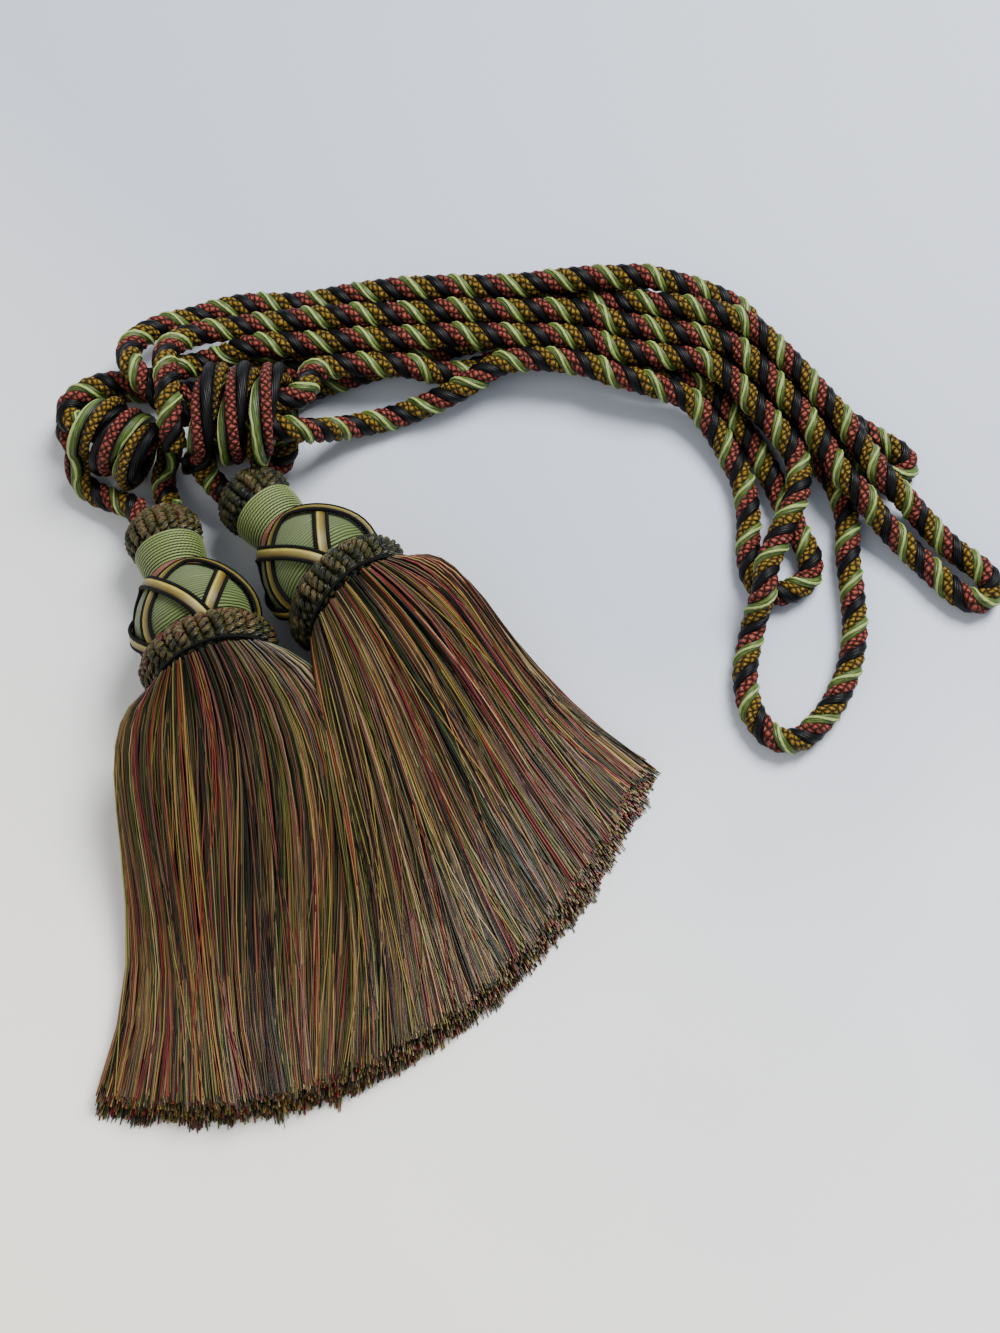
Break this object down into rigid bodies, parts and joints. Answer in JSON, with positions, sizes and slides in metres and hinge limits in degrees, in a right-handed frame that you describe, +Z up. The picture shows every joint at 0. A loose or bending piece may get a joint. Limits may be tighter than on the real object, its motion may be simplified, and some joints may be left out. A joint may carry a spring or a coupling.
{
  "type": "curtain tieback tassel",
  "caption": "Curtain tieback with fringed tassels, ribbon-bound heads and ruffs, each hung from a wound rope knot, and long loops of laid rope lying in a bundle.",
  "frame": {"origin": "on the floor, under the middle of the footprint of the tassels and their knots", "axes": "+Z up from the floor; the tassels point towards -Y from their knots; the rope loops run out towards +X"},
  "size_m": [0.3719, 0.3375, 0.0558],
  "materials": {
    "skirt yarn": "satin yarn, olive, ochre, crimson, taupe and black mixed",
    "ruff cord": "two-ply looped cord in olive, tan and plum",
    "sage thread": "sage green thread laid side by side",
    "gold ribbon": "flat cream-gold ribbon with black edges",
    "copper thread": "copper thread",
    "laid rope": "rope of four laid strands: black satin, gold gimp, sage and pink gimp"
  },
  "bodies": {
    "root": {"tassel_1_skirt": "skirt yarn", "tassel_1_lower_ruff": "ruff cord", "tassel_1_mould": "sage thread", "tassel_1_neck_ring": "copper thread", "tassel_1_collar": "sage thread", "tassel_1_upper_ruff": "ruff cord", "tassel_1_ribbon_1": "gold ribbon", "tassel_1_ribbon_2": "gold ribbon", "tassel_1_ribbon_3": "gold ribbon", "tassel_1_ribbon_4": "gold ribbon", "tassel_1_ribbon_5": "gold ribbon", "tassel_2_skirt": "skirt yarn", "tassel_2_lower_ruff": "ruff cord", "tassel_2_mould": "sage thread", "tassel_2_neck_ring": "copper thread", "tassel_2_collar": "sage thread", "tassel_2_upper_ruff": "ruff cord", "tassel_2_ribbon_1": "gold ribbon", "tassel_2_ribbon_2": "gold ribbon", "tassel_2_ribbon_3": "gold ribbon", "tassel_2_ribbon_4": "gold ribbon", "tassel_2_ribbon_5": "gold ribbon", "knot_1": "laid rope", "knot_2": "laid rope", "loop_1": "laid rope", "loop_2": "laid rope", "loop_3": "laid rope", "loop_4": "laid rope"}
  },
  "joints": []
}
